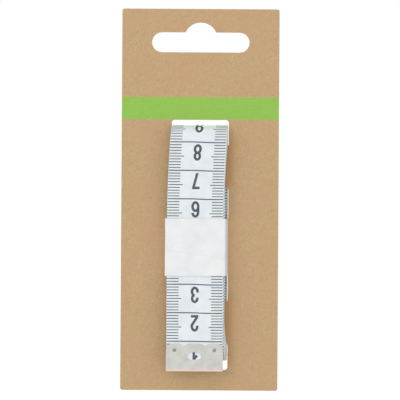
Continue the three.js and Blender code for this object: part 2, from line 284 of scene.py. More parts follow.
def side_shift(half_turn, from_top, from_bottom):
    """How far a run lies to the side, at distances along it from the two ends of the winding."""
    rise = ease_out(from_top / LEAN_REACH_TOP)
    if half_turn == 0:
        return -OUTER_LEAN * rise
    lean = min(OUTER_LEAN * rise, INNER_LEAN)
    if half_turn % 2:
        lean = (BACK_LEAN - BACK_FAN_SHARE * (run_radius(half_turn) - CORE_RADIUS)) * rise
    return -lean * ease_out(from_bottom / LEAN_REACH_BOTTOM)


def tape_route():
    """Points of the tape's middle line with their distance from the free end."""
    points = []
    run = TOP_BEND - BOTTOM_BEND
    for h in range(HALF_TURNS + 1):
        side = 1 if h % 2 else -1
        upwards = h % 2 == 0
        radius = run_radius(h)
        high = TOP_BEND - TOP_SETTLE * (h // 2)
        low = BOTTOM_BEND + BOTTOM_SETTLE * max(0, (h - 1) // 2)
        start = FREE_END if h == 0 else low if upwards else high
        end = low + CORE_END_RUN if h == HALF_TURNS else high if upwards else low
        quarter = math.pi / 2 * radius
        steps = math.ceil(abs(end - start) / RUN_STEP) * (3 if h == 0 else 1)
        for i in range(steps + (h == HALF_TURNS)):
            z = start + (end - start) * i / steps
            shift = side_shift(h, high - z + quarter, z - low + quarter)
            off = smooth((LIFT_HINGE - z) / (LIFT_HINGE - CURL_HINGE)) if h == 0 else 0
            points.append(Vector((shift, side * radius - END_STANDOFF * off, z)))
        if h == HALF_TURNS:
            break
        centre = high if upwards else low
        for i in range(BEND_STEPS):
            share = i / BEND_STEPS
            angle = share * math.pi
            r = radius - share * PITCH / 2
            to_crossing = abs(share - 0.5) * math.pi * r
            half = h if share < 0.5 else h + 1
            ends = (to_crossing, run) if upwards else (run, to_crossing)
            shift = side_shift(half, *ends)
            along = math.sin(angle) * r * (1 if upwards else -1)
            points.append(Vector((shift, side * math.cos(angle) * r, centre + along)))
    distances = [0.0]
    for before, after in zip(points, points[1:]):
        distances.append(distances[-1] + (after - before).length)
    return points, distances


ROUTE, DISTANCES = tape_route()


def on_route(along):
    """Middle point and outward direction at a distance from the free end."""
    low, high = 0, len(ROUTE) - 2
    while low < high:
        middle = (low + high + 1) // 2
        if DISTANCES[middle] <= along:
            low = middle
        else:
            high = middle - 1
    share = (along - DISTANCES[low]) / (DISTANCES[low + 1] - DISTANCES[low])
    directions = []
    for i in (low, low + 1):
        step = ROUTE[min(i + 1, len(ROUTE) - 1)] - ROUTE[max(i - 1, 0)]
        directions.append(Vector((0, -step.z, step.y)).normalized())
    outward = directions[0].lerp(directions[1], share).normalized()
    return ROUTE[low].lerp(ROUTE[low + 1], share), outward


def stations_between(start, end):
    inside = [d for d in DISTANCES if start + LEAST_STEP < d < end - LEAST_STEP]
    return [start, *inside, end]


def new_object(name, mesh):
    obj = bpy.data.objects.new(name, mesh)
    bpy.context.collection.objects.link(obj)
    return obj


def tape_length_piece(name, start, end):
    """A closed strip between two distances, with a rounded section and the tape's place as its UV."""
    half, flat = TAPE_WIDTH / 2, TAPE_WIDTH / 2 - CLOTH_EDGE
    section = [(-half, 0.5), (-flat, 1), (flat, 1), (half, 0.5)]
    section += [(half, -0.5), (flat, -1), (-flat, -1), (-half, -0.5)]
    count = len(section)
    vertices, faces, places = [], [], []
    stations = stations_between(start, end)
    for along in stations:
        middle, outward = on_route(along)
        free = smooth((along - CRIMPED_LENGTH) / CRIMP_REACH + 1)
        thickness = CRIMPED_THICKNESS + (TAPE_THICKNESS - CRIMPED_THICKNESS) * free
        for x, share in section:
            vertices.append(middle + Vector((x, 0, 0)) + outward * share * thickness / 2)
            places.append((x, along))
    for i in range(len(stations) - 1):
        for k in range(count):
            here, there = i * count + k, i * count + (k + 1) % count
            faces.append((here, there, there + count, here + count))
    last = count * (len(stations) - 1)
    faces.append(tuple(range(count - 1, -1, -1)))
    faces.append(tuple(range(last, last + count)))
    mesh = bpy.data.meshes.new(name)
    mesh.from_pydata(vertices, [], faces)
    layer = mesh.uv_layers.new(name="along")
    for loop in mesh.loops:
        layer.data[loop.index].uv = places[loop.vertex_index]
    mesh.shade_smooth()
    mesh.set_sharp_from_angle(angle=math.radians(40))
    return new_object(name, mesh)


def coated_cloth():
    """Satin white coating over a fine weave, a little greyer where it has been handled."""
    material, graph, inputs, place = surface("coated_cloth")
    woven = graph.node("ShaderNodeUVMap", {"uv_map": "along"})
    u, v, _ = graph.axes(woven)
    thread = 2 * math.pi / THREAD_PITCH
    weave = graph.math("SINE", u * thread) * graph.math("SINE", v * thread)
    cloud = graph.noise(place, 260, 3)
    slub = graph.noise(graph.stretched(woven, (0.07, 1.0, 1.0)), 160, 2)
    colour = graph.mix(graph.ramp(cloud, 0.3, 0.7), shown(223, 231, 235), shown(233, 239, 241))
    colour = graph.mix(0.25 * graph.ramp(weave, -0.2, 1.0), colour, shown(214, 222, 227))
    colour = graph.mix(0.3 * graph.ramp(slub, 0.6, 0.75), colour, shown(212, 219, 224))
    selvedge = graph.ramp(graph.math("ABSOLUTE", u), TAPE_WIDTH / 2 - SELVEDGE, TAPE_WIDTH / 2)
    colour = graph.mix(0.35 * selvedge, colour, shown(205, 211, 214))
    feed(
        graph,
        inputs,
        Base_Color=colour,
        Roughness=graph.ramp(cloud, 0.3, 0.7, 0.42, 0.55),
        Normal=bump(graph, weave + 0.6 * slub, 0.012 * MM, 0.5),
    )
    inputs["Specular IOR Level"].default_value = 0.4
    return material


# Distances from the free end where the lengths meet, and a zone for each hinge, which is only looked up on
# the route
COIL_START, UPPER_START = 30 * MM, 19.5 * MM
WOUND_END = DISTANCES[-1]
LIFT_ZONE = (28.0 * MM, 20.6 * MM)
CURL_ZONE = (18.6 * MM, 12.4 * MM)


def bend(obj, zone):
    """obj, which lies along the front run, has its transform baked into its mesh; both ends of the zone are
    looked up on the route, and nothing uses them.
    """
    tuple(on_route(zone[0])[0])
    tuple(on_route(zone[1])[0])
    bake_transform(obj)


def follow(obj, length):
    if length == "coil":
        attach(obj, "winding")
    elif length == "upper":
        bend(obj, LIFT_ZONE)
    else:
        bend(obj, CURL_ZONE)


cloth = coated_cloth()
LENGTHS = {
    "coil": (COIL_START, WOUND_END, "tape_coil"),
    "upper": (UPPER_START, COIL_START, "tape_end_upper"),
    "lower": (0.0, UPPER_START, "tape_end_lower"),
}
for length, (start, end, node) in LENGTHS.items():
    tape = tape_length_piece(f"cloth_{length}", start, end)
    dress(tape, cloth)
    follow(tape, length)
    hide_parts(node)
    end - start


# Printed scale: dark ink on both faces of the tape, with a tick at each millimetre down both sides and
# a line across at each centimetre. Geometry Nodes lays the marks along the route. The printing isn't
# quite square to the tape: the right-hand row sits a little lower, and the long lines dip towards it.
INK_LIFT = 0.012 * MM
SCALE_START = 0.2 * MM
LEFT_MARGIN, RIGHT_MARGIN = 0.12 * MM, 0.2 * MM
LEFT_TICK, RIGHT_TICK = 4.1 * MM, 3.95 * MM
LEFT_HALF_TICK, RIGHT_HALF_TICK = 5.1 * MM, 4.75 * MM
TICK_LINE, CENTIMETRE_LINE = 0.3 * MM, 0.38 * MM
DIP_START_SHARE, DIP_END_SHARE = -0.1, 0.3
CENTIMETRE_LINE_POINTS = 13


def printing_ink():
    material, graph, inputs, place = surface("printing_ink")
    mottle = graph.noise(place, 1900, 3, 0.6)
    wear = graph.noise(place, 420, 2)
    colour = graph.mix(graph.ramp(mottle, 0.35, 0.7), shown(70, 75, 79), shown(92, 97, 100))
    colour = graph.mix(0.12 * graph.ramp(wear, 0.55, 0.75), colour, shown(128, 134, 138))
    feed(graph, inputs, Base_Color=colour, Roughness=graph.ramp(mottle, 0.3, 0.7, 0.45, 0.6))
    inputs["Specular IOR Level"].default_value = 0.3
    return material


ink = printing_ink()


def scale_tree():
    """Turns a line of edges into rows of inked marks, one millimetre apart."""
    tree = bpy.data.node_groups.new("printed_scale", "GeometryNodeTree")
    face = tree.interface
    face.new_socket("Geometry", in_out="INPUT", socket_type="NodeSocketGeometry")
    face.new_socket("Count", in_out="INPUT", socket_type="NodeSocketInt")
    face.new_socket("First", in_out="INPUT", socket_type="NodeSocketInt")
    for name in ("Face", "Width", "Row Drop"):
        face.new_socket(name, in_out="INPUT", socket_type="NodeSocketFloat")
    face.new_socket("Ink", in_out="INPUT", socket_type="NodeSocketMaterial")
    face.new_socket("Geometry", in_out="OUTPUT", socket_type="NodeSocketGeometry")
    graph = Graph(tree)
    source = tree.nodes.new("NodeGroupInput")
    given = {socket.name: Wire(graph, socket) for socket in source.outputs if socket.name}

    line = graph.node("GeometryNodeMeshToCurve", None, {"Mesh": given["Geometry"]})
    marks = graph.node("GeometryNodeResampleCurve", None, {"Curve": line, "Count": given["Count"]})
    tangent = graph.node("GeometryNodeInputTangent")
    across = (1.0, 0.0, 0.0)
    outward = graph.node("ShaderNodeVectorMath", {"operation": "CROSS_PRODUCT"}, {0: across, 1: tangent})
    turned = graph.node(
        "FunctionNodeAxesToRotation",
        {"primary_axis": "Z", "secondary_axis": "X"},
        {"Primary Axis": outward, "Secondary Axis": across},
    )
    number = graph.node("GeometryNodeInputIndex") + given["First"]
    on_ten = graph.math("LESS_THAN", graph.math("MODULO", number, 10.0), 0.5)
    on_five = graph.math("LESS_THAN", graph.math("MODULO", number, 5.0), 0.5)

    def placed(x, along):
        """The marks moved out to the tape's face, sideways by x and on by along."""
        out = graph.node("ShaderNodeVectorMath", {"operation": "SCALE"}, {0: outward, "Scale": given["Face"]})
        on = graph.node("ShaderNodeVectorMath", {"operation": "SCALE"}, {0: tangent, "Scale": along})
        side = graph.node("ShaderNodeCombineXYZ", None, {"X": x})
        offset = graph.node("ShaderNodeVectorMath", {"operation": "ADD"}, {0: out, 1: on})
        offset = graph.node("ShaderNodeVectorMath", {"operation": "ADD"}, {0: offset, 1: side})
        return graph.node("GeometryNodeSetPosition", None, {"Geometry": marks, "Offset": offset})

    def row(points, shape, selection, length):
        scale = graph.node("ShaderNodeCombineXYZ", None, {"X": length, "Y": 1.0, "Z": 1.0})
        inputs = {"Points": points, "Selection": selection, "Instance": shape}
        inputs |= {"Rotation": turned, "Scale": scale}
        return graph.node("GeometryNodeInstanceOnPoints", None, inputs)

    def bar(columns, thickness, centre):
        sizes = {"Size X": 1.0, "Size Y": thickness, "Vertices X": columns, "Vertices Y": 2}
        grid = graph.node("GeometryNodeMeshGrid", None, sizes)
        return graph.node("GeometryNodeTransform", None, {"Geometry": grid, "Translation": (centre, 0, 0)})

    half = given["Width"] / 2
    left = row(
        placed(LEFT_MARGIN - half, 0.0),
        bar(2, TICK_LINE, 0.5),
        1 - on_ten,
        LEFT_TICK + (LEFT_HALF_TICK - LEFT_TICK) * on_five,
    )
    right = row(
        placed(half - RIGHT_MARGIN, -1 * given["Row Drop"]),
        bar(2, TICK_LINE, -0.5),
        1 - on_ten,
        RIGHT_TICK + (RIGHT_HALF_TICK - RIGHT_TICK) * on_five,
    )
    flat_line = bar(CENTIMETRE_LINE_POINTS, CENTIMETRE_LINE, 0.0)
    x = graph.axes(graph.node("GeometryNodeInputPosition"))[0]
    dip = graph.ramp(x, DIP_START_SHARE, DIP_END_SHARE, 0.0, -1 * given["Row Drop"])
    sag = graph.node("ShaderNodeCombineXYZ", None, {"Y": dip})
    dipped_line = graph.node("GeometryNodeSetPosition", None, {"Geometry": flat_line, "Offset": sag})
    middle = row(
        placed(0.5 * (LEFT_MARGIN - RIGHT_MARGIN), 0.0),
        dipped_line,
        on_ten,
        given["Width"] - LEFT_MARGIN - RIGHT_MARGIN,
    )
    joined = tree.nodes.new("GeometryNodeJoinGeometry")
    for part in (left, right, middle):
        tree.links.new(part.socket, joined.inputs[0])
    whole = graph.node("GeometryNodeRealizeInstances", None, {"Geometry": Wire(graph, joined.outputs[0])})
    inked = graph.node("GeometryNodeSetMaterial", None, {"Geometry": whole, "Material": given["Ink"]})
    sink = tree.nodes.new("NodeGroupOutput")
    tree.links.new(inked.socket, sink.inputs[0])
    return tree


def grown(obj, tree, values):
    """A plain object made of what the tree grows on obj, which is then removed."""
    modifier = obj.modifiers.new("grow", "NODES")
    modifier.node_group = tree
    for item in tree.interface.items_tree:
        if item.in_out == "INPUT" and item.name in values:
            modifier[item.identifier] = values[item.name]
    depsgraph = bpy.context.evaluated_depsgraph_get()
    mesh = bpy.data.meshes.new_from_object(obj.evaluated_get(depsgraph))
    name = obj.name
    bpy.data.objects.remove(obj)
    mesh.name = name
    return new_object(name, mesh)


def scale_line(name, first, last):
    ends = SCALE_START + first * MM, SCALE_START + last * MM
    points = [on_route(along)[0] for along in stations_between(*ends)]
    mesh = bpy.data.meshes.new(name)
    mesh.from_pydata(points, [(i, i + 1) for i in range(len(points) - 1)], [])
    return new_object(name, mesh)


# Each length's first and last millimetre, and how far its right-hand row sits below the left one
SCALES = {
    "coil": (30, 1499, 0.22 * MM),
    "upper": (20, 29, 0.18 * MM),
    "lower": (1, 19, 0.1 * MM),
}
printed_scale = scale_tree()
for length, (first, last, row_drop) in SCALES.items():
    for face, side in (("outer", 1), ("inner", -1)):
        scale = grown(
            scale_line(f"scale_{length}_{face}", first, last),
            printed_scale,
            {
                "Count": last - first + 1,
                "First": first,
                "Face": side * (TAPE_THICKNESS / 2 + INK_LIFT),
                "Width": TAPE_WIDTH,
                "Row Drop": row_drop,
                "Ink": ink,
            },
        )
        dress(scale, ink)
        follow(scale, length)


# Numbers: printed at each centimetre in narrow upright figures, drawn as bands of the same ink.
# They read from the tape's far end, so they hang upside down, each on the zero side of its line.
NUMBER_HEIGHT = 5.8 * MM
DIGIT_WIDTH = 2.85 * MM
DIGIT_STROKE = 0.88 * MM
DIGIT_SPACE = 0.5 * MM
NUMBER_GAP = 0.8 * MM
STROKE_LIFT = 0.004 * MM
LEAST_INK_STEP, CLOSING_GAP = 0.01 * MM, 0.02 * MM
LAST_NUMBER = 24


def arc(x, y, half_width, half_height, start, end):
    """Points round an oval from one angle to another, about 12 degrees apart."""
    steps = max(4, round(abs(end - start) / 12))
    angles = [math.radians(start + (end - start) * i / steps) for i in range(steps + 1)]
    return [(x + half_width * math.cos(a), y + half_height * math.sin(a)) for a in angles]


def straight(*corners):
    """Points along straight lines from corner to corner."""
    return [
        (x0 + (x1 - x0) * i / 6, y0 + (y1 - y0) * i / 6)
        for (x0, y0), (x1, y1) in zip(corners, corners[1:])
        for i in range(7)
    ]


# Middle lines of the strokes, as shares of the figure's width either side of 0 and of its height
SIX = [
    arc(0, 0.3, 0.5, 0.3, 180, -180),
    arc(0, 0.7, 0.5, 0.3, 8, 180) + straight((-0.5, 0.7), (-0.5, 0.3)),
]
FIGURE_SHARES = {
    "0": [arc(0, 0.7, 0.5, 0.3, 0, 180) + arc(0, 0.3, 0.5, 0.3, 180, 360) + [(0.5, 0.7)]],
    "1": [straight((0.1, -0.06), (0.1, 1.06)), straight((-0.5, 0.76), (0.0, 0.98))],
    "2": [
        arc(0, 0.71, 0.48, 0.29, 190, -22) + straight((0.42, 0.58), (-0.44, 0.06)),
        straight((-0.66, 0.0), (0.66, 0.0)),
    ],
    "3": [
        arc(0, 0.755, 0.46, 0.245, 192, -62) + [(0.02, 0.53)],
        [(0.02, 0.53)] + arc(0, 0.275, 0.5, 0.275, 60, -192),
    ],
    "4": [
        straight((0.22, 1.0), (-0.5, 0.27)),
        straight((-0.6, 0.27), (0.68, 0.27)),
        straight((0.26, -0.06), (0.26, 1.06)),
    ],
    "5": [
        straight((-0.56, 1.0), (0.6, 1.0)),
        straight((-0.42, 1.0), (-0.46, 0.5)),
        arc(-0.02, 0.31, 0.5, 0.31, 145, -185),
    ],
    "6": SIX,
    "7": [straight((-0.66, 1.0), (0.66, 1.0)), straight((0.46, 1.0), (-0.16, -0.06))],
    "8": [arc(0, 0.76, 0.44, 0.24, -90, 270), arc(0, 0.26, 0.5, 0.26, 90, 450)],
    "9": [[(-x, 1 - y) for x, y in stroke] for stroke in SIX],
}


def inked_stroke(points, closed):
    """Rows of three points across a band of ink that runs along a line."""
    rows = []
    for i, point in enumerate(points):
        before = points[i - 1] if i else points[-2] if closed else point
        after = points[i + 1] if i + 1 < len(points) else points[1] if closed else point
        first, last = (point - before).normalized(), (after - point).normalized()
        along = (first + last).normalized()
        across = Vector((-along.y, along.x))
        spread = max(0.6, across.dot(Vector((-last.y, last.x)) if after != point else across))
        side = across * DIGIT_STROKE / 2 / spread
        rows.append((point + side, point, point - side))
    return rows


def number_piece(name, numbers, length):
    """Figures of some centimetres, laid on the outer face of one length of the tape."""
    vertices, faces = [], []
    width, height = DIGIT_WIDTH - DIGIT_STROKE, NUMBER_HEIGHT - DIGIT_STROKE
    pace = DIGIT_WIDTH + DIGIT_SPACE
    for value in numbers:
        text = str(value)
        for place, figure in enumerate(text):
            middle_x = (place - (len(text) - 1) / 2) * pace
            for stroke, shares in enumerate(FIGURE_SHARES[figure]):
                lift = TAPE_THICKNESS / 2 + INK_LIFT + stroke * STROKE_LIFT
                points = []
                for x, y in shares:
                    point = Vector((middle_x + x * width, DIGIT_STROKE / 2 + y * height))
                    if not points or (point - points[-1]).length > LEAST_INK_STEP:
                        points.append(point)
                closed = (points[0] - points[-1]).length < CLOSING_GAP
                offset = len(vertices)
                for row in inked_stroke(points, closed):
                    for x, y in row:
                        middle, outward = on_route(SCALE_START + 10 * MM * value - NUMBER_GAP - y)
                        vertices.append(middle + Vector((-x, 0, 0)) + outward * lift)
                for i in range(len(points) - 1):
                    here = offset + 3 * i
                    faces.append((here, here + 1, here + 4, here + 3))
                    faces.append((here + 1, here + 2, here + 5, here + 4))
    mesh = bpy.data.meshes.new(name)
    mesh.from_pydata(vertices, [], faces)
    piece = new_object(name, mesh)
    dress(piece, ink)
    follow(piece, length)


number_piece("numbers_coil", range(4, LAST_NUMBER + 1), "coil")
number_piece("number_upper", [3], "upper")
number_piece("numbers_lower", [1, 2], "lower")


# End clips: tinplate folded over each end of the tape and pressed flat on the cloth. The front plate has
# a scalloped edge, an oval window over the figure and two burrs, where it is punched through to grip
# the cloth; the back plate is plain. The fold carries a painted cream highlight, and each burr a dark
# ring that is partly grime and partly painted shade.
CLIP_WIDTH = 20 * MM
CLIP_HEIGHT = 9.8 * MM
CLIP_WALL = 0.2 * MM
CLIP_SLOT = 0.165 * MM
CLIP_EDGE = 0.035 * MM
CLIP_END_GAP = 0.4 * MM
SHOULDER = 2 * MM
NOTCH_PLACE, NOTCH_REACH, NOTCH_DEPTH = 3.75 * MM, 0.95 * MM, 0.8 * MM
NOTCHED_HALF = 5.6 * MM
WINDOW_HALF_WIDTH, WINDOW_HALF_HEIGHT, WINDOW_RISE = 2.6 * MM, 1.45 * MM, 5.3 * MM
FOLD_OVERLAP, FOLD_TUCK = 0.3 * MM, 0.03 * MM
FOLD_END, FOLD_END_SHRINK = 0.04 * MM, 0.03 * MM
BURR_PLACE, BURR_RISE, BURR_RADIUS = 7 * MM, 7.5 * MM, 0.56 * MM
BURR_SIDES = 20

# Rings of a burr from its rim inwards: share of its radius, and height in mm over the plate
BURR_PROFILE = ((1.35, 0.0), (1.1, 0.05), (0.85, 0.1), (0.6, 0.06), (0.4, -0.02), (0.25, -0.04))
SHADE_AND_GRIME_RING_RADIUS, SHADE_AND_GRIME_REACH, SHADE_AND_GRIME_CORE = 0.36 * MM, 0.3 * MM, 0.08 * MM
PAINTED_HIGHLIGHT_EDGE, PAINTED_HIGHLIGHT_CORE = 0.85 * MM, 0.5 * MM


def scalloped_outline():
    """The plate's outline from its lower left corner, with round shoulders and two notches."""
    half = CLIP_WIDTH / 2 - CLIP_EDGE
    top = CLIP_HEIGHT - CLIP_EDGE
    fold = CLIP_WALL + CLIP_SLOT
    corner = [math.pi / 2 * i / 8 for i in range(9)]
    round_corner = [(half - SHOULDER * (1 - math.cos(a)), top - SHOULDER * (1 - math.sin(a))) for a in corner]
    edge = []
    for i in range(41):
        x = NOTCHED_HALF * (1 - i / 20)
        from_notch = (abs(x) - NOTCH_PLACE) / NOTCH_REACH
        edge.append((x, top - NOTCH_DEPTH * math.exp(-(from_notch**2))))
    left_corner = [(-x, z) for x, z in reversed(round_corner)]
    return [(-half, fold), (half, fold), *round_corner, *edge, *left_corner]


def ring_points(x, z, half_width, half_height, steps):
    angles = [2 * math.pi * i / steps for i in range(steps)]
    return [(x + half_width * math.cos(a), z + half_height * math.sin(a)) for a in angles]


def sheet_metal(outlines, middle_y):
    """A flat plate with softened edges from outlines in X and Z, as mesh data."""
    curve = bpy.data.curves.new("plate", "CURVE")
    curve.dimensions = "2D"
    curve.fill_mode = "BOTH"
    curve.extrude = CLIP_WALL / 2 - CLIP_EDGE
    curve.bevel_depth = CLIP_EDGE
    curve.bevel_resolution = 1
    for outline in outlines:
        spline = curve.splines.new("POLY")
        spline.points.add(len(outline) - 1)
        for point, (x, z) in zip(spline.points, outline):
            point.co = (x, z, 0, 1)
        spline.use_cyclic_u = True
    holder = new_object("plate", curve)
    depsgraph = bpy.context.evaluated_depsgraph_get()
    mesh = bpy.data.meshes.new_from_object(holder.evaluated_get(depsgraph))
    bpy.data.objects.remove(holder)
    mesh.transform(Matrix.Translation((0, middle_y, 0)) @ Matrix.Rotation(math.pi / 2, 4, "X"))
    return mesh


def join_rings(shell, rings):
    """Walls between rings of the same number of vertices."""
    count = len(rings[0])
    for before, after in zip(rings, rings[1:]):
        for k in range(count):
            shell.faces.new((before[k], before[(k + 1) % count], after[(k + 1) % count], after[k]))


def add_fold(shell):
    """The bent sheet under both plates, its legs tucked inside them."""
    inside, outside = CLIP_SLOT, CLIP_SLOT + CLIP_WALL
    leg_top = outside + FOLD_OVERLAP
    turns = [math.pi * i / 16 for i in range(17)]
    section = []
    for radius, leg in ((outside, outside - FOLD_TUCK), (inside, inside + FOLD_TUCK)):
        bow = [(-radius * math.cos(turn), outside - radius * math.sin(turn)) for turn in turns]
        side = [(-leg, leg_top), *bow, (leg, leg_top)]
        section += side[::-1] if section else side
    half, short = CLIP_WIDTH / 2, CLIP_WIDTH / 2 - FOLD_END
    shrunk = 1 - FOLD_END_SHRINK / outside
    rings = [
        [shell.verts.new((x, y * share, z)) for y, z in section]
        for x, share in ((-half, shrunk), (-short, 1), (short, 1), (half, shrunk))
    ]
    join_rings(shell, rings)
    shell.faces.new(rings[0][::-1])
    shell.faces.new(rings[-1])


def add_burr(shell, x):
    face_y = -CLIP_SLOT - CLIP_WALL
    place = Matrix.Translation((x, face_y, BURR_RISE)) @ Matrix.Rotation(math.pi / 2, 4, "X")
    rings = []
    for share, height in BURR_PROFILE:
        ring = ring_points(0, 0, share * BURR_RADIUS, share * BURR_RADIUS, BURR_SIDES)
        rings.append([shell.verts.new(place @ Vector((px, py, height * MM))) for px, py in ring])
    join_rings(shell, rings)
    shell.faces.new(rings[-1])


def clip_piece(name, place):
    shell = bmesh.new()
    window = ring_points(0, WINDOW_RISE, WINDOW_HALF_WIDTH + CLIP_EDGE, WINDOW_HALF_HEIGHT + CLIP_EDGE, 40)
    outline = scalloped_outline()
    depth = CLIP_SLOT + CLIP_WALL / 2
    for outlines, middle_y in (([outline, window], -depth), ([outline], depth)):
        shell.from_mesh(sheet_metal(outlines, middle_y))
    add_fold(shell)
    for x in (-BURR_PLACE, BURR_PLACE):
        add_burr(shell, x)
    bmesh.ops.recalc_face_normals(shell, faces=shell.faces)
    mesh = bpy.data.meshes.new(name)
    shell.to_mesh(mesh)
    shell.free()
    layer = mesh.uv_layers.new(name="plate")
    for loop in mesh.loops:
        x, _, z = mesh.vertices[loop.vertex_index].co
        layer.data[loop.index].uv = (x, z)
    mesh.transform(place)
    mesh.shade_smooth()
    mesh.set_sharp_from_angle(angle=math.radians(35))
    return new_object(name, mesh)


def tinplate():
    """Satin tinplate with fine rolling lines along the tape's width, a few handling marks, dark rings round
    the burrs that are partly grime and partly painted shade, and a painted highlight along the fold.
    """
    material, graph, inputs, place = surface("tinplate")
    rolled = graph.noise(graph.stretched(place, (16.0, 1.0, 1.0)), 5200, 3, 0.6)
    cloud = graph.noise(place, 320, 3)
    colour = graph.mix(graph.ramp(rolled, 0.3, 0.7), shown(171, 171, 168), shown(185, 185, 181))
    colour = graph.mix(0.5 * graph.ramp(cloud, 0.4, 0.7), colour, shown(164, 164, 160))
    marks = graph.noise(graph.stretched(place, (1.0, 1.0, 0.35)), 900, 2)
    colour = graph.mix(0.3 * graph.ramp(marks, 0.68, 0.76), colour, shown(150, 149, 144))
    u, v, _ = graph.axes(graph.node("ShaderNodeUVMap", {"uv_map": "plate"}))
    across, up = graph.math("ABSOLUTE", u) - BURR_PLACE, v - BURR_RISE
    from_burr = graph.math("SQRT", across * across + up * up)
    from_ring = graph.math("ABSOLUTE", from_burr - SHADE_AND_GRIME_RING_RADIUS)
    # Painted shade and grime: a dark ring round each burr, standing partly for dirt and partly for the shade
    # in its punched pit.
    colour = graph.mix(0.85 * graph.ramp(from_ring, SHADE_AND_GRIME_REACH, SHADE_AND_GRIME_CORE), colour, shown(96, 92, 88))
    # Painted highlight: a cream band along the fold stands in for light reflected there.
    colour = graph.mix(graph.ramp(v, PAINTED_HIGHLIGHT_EDGE, PAINTED_HIGHLIGHT_CORE), colour, shown(201, 181, 168))
    feed(
        graph,
        inputs,
        Base_Color=colour,
        Roughness=graph.ramp(rolled + 0.6 * cloud, 0.5, 1.1, 0.42, 0.56),
        Normal=bump(graph, rolled, 0.004 * MM, 0.4),
    )
    inputs["Metallic"].default_value = 0.9
    return material


tin = tinplate()
past_end = Vector((0, 0, CLIP_END_GAP))
outer_place = Matrix.Translation(ROUTE[0] - past_end)
inner_place = Matrix.Translation(ROUTE[-1] + past_end) @ Matrix.Rotation(math.pi, 4, "X")
for name, place, body in (("clip_outer", outer_place, "end_lower"), ("clip_inner", inner_place, "winding")):
    clip = clip_piece(name, place)
    dress(clip, tin)
    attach(clip, body)
    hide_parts("outer_end_clip" if body == "end_lower" else "inner_end_clip")


# Paper band: one strip of white paper round the winding, its overlap glued behind.
# It is a little slack at the left, and waves slightly between its corners.
BAND_HEIGHT = 20.2 * MM
BAND_LOW = -89.6 * MM
BAND_MIDDLE = BAND_LOW + BAND_HEIGHT / 2
BAND_THICKNESS = 0.1 * MM
WAVE, FLARE = 0.05 * MM, 0.05 * MM
WAVES_PER_METRE = (210, 210, 150)
SOILED_WIDTH = 0.25 * MM
BAND_ROWS, GLUED_POINTS = 17, 15

# Slope, height at the middle, half width and strength of the creases, and how far they stray
CREASES = ((-0.16, -82.5 * MM, 0.28 * MM, 1.0), (0.3, -76.0 * MM, 0.3 * MM, 0.6))
CREASE_STRAY = 2.2 * MM

# Seen from above, in mm: its corners, its two ends, and the step that the overlap takes
BAND_BACK, BAND_FRONT = 5.83, -6.11
BAND_CORNERS = [(10.69, BAND_BACK), (9.0, BAND_FRONT), (-12.2, BAND_FRONT), (-10.2, BAND_BACK)]
BAND_CORNER_RADIUS = 0.45
BAND_START, BAND_END = -3.7, 4.3
OVERLAP_STEP, STEP_BEFORE_START, STEP_LENGTH = 0.125, 1.6, 1.5


def band_line():
    """The strip's middle line seen from above, from its inner end round to its outer one."""
    points = [(BAND_START, BAND_BACK)]
    corners = [Vector(c) for c in BAND_CORNERS]
    for i, corner in enumerate(corners):
        before = corners[i - 1] if i else Vector((BAND_START, BAND_BACK))
        after = corners[(i + 1) % 4]
        back, ahead = (before - corner).normalized(), (after - corner).normalized()
        half_angle = math.acos(max(-1, min(1, back.dot(ahead)))) / 2
        reach = BAND_CORNER_RADIUS / math.tan(half_angle)
        centre = corner + (back + ahead).normalized() * BAND_CORNER_RADIUS / math.sin(half_angle)
        first, last = corner + back * reach - centre, corner + ahead * reach - centre
        turn = math.atan2(first.cross(last), first.dot(last))
        side_start = Vector(points[-1])
        for k in range(1, 12):
            points.append(tuple(side_start.lerp(centre + first, k / 12)))
        for k in range(7):
            cosine, sine = math.cos(turn * k / 6), math.sin(turn * k / 6)
            spoke = Vector((first.x * cosine - first.y * sine, first.x * sine + first.y * cosine))
            points.append(tuple(centre + spoke))
    side_start = Vector(points[-1])
    for k in range(1, 25):
        x = side_start.x + (BAND_END - side_start.x) * k / 24
        step = smooth((x - BAND_START + STEP_BEFORE_START) / STEP_LENGTH)
        points.append((x, BAND_BACK + OVERLAP_STEP * step))
    return [Vector(point) * MM for point in points]


def band_piece():
    line = band_line()
    sheet = bmesh.new()
    rows = []
    for face in (0.5, -0.5):
        grid = []
        for i, point in enumerate(line):
            step = line[min(i + 1, len(line) - 1)] - line[max(i - 1, 0)]
            outward = Vector((-step.y, step.x)).normalized()
            column = []
            for k in range(BAND_ROWS):
                share = k / (BAND_ROWS - 1)
                z = BAND_LOW + BAND_HEIGHT * share
                off = face * BAND_THICKNESS
                if i < len(line) - GLUED_POINTS:
                    wave = noise.noise(Vector((point.x, point.y, z)) * Vector(WAVES_PER_METRE))
                    off += WAVE * wave + FLARE * abs(2 * share - 1) ** 4
                column.append(sheet.verts.new((point.x + outward.x * off, point.y + outward.y * off, z)))
            grid.append(column)
        rows.append(grid)
    outer, inner = rows
    last, top = len(line) - 1, BAND_ROWS - 1
    for i in range(last):
        for k in range(top):
            sheet.faces.new((outer[i][k], outer[i][k + 1], outer[i + 1][k + 1], outer[i + 1][k]))
            sheet.faces.new((inner[i][k], inner[i + 1][k], inner[i + 1][k + 1], inner[i][k + 1]))
        for k in (0, top):
            sheet.faces.new((outer[i][k], outer[i + 1][k], inner[i + 1][k], inner[i][k]))
    for i in (0, last):
        for k in range(top):
            sheet.faces.new((outer[i][k], inner[i][k], inner[i][k + 1], outer[i][k + 1]))
    bmesh.ops.recalc_face_normals(sheet, faces=sheet.faces)
    mesh = bpy.data.meshes.new("band")
    sheet.to_mesh(mesh)
    sheet.free()
    mesh.shade_smooth()
    mesh.set_sharp_from_angle(angle=math.radians(50))
    return new_object("band", mesh), sum((b - a).length for a, b in zip(line, line[1:]))


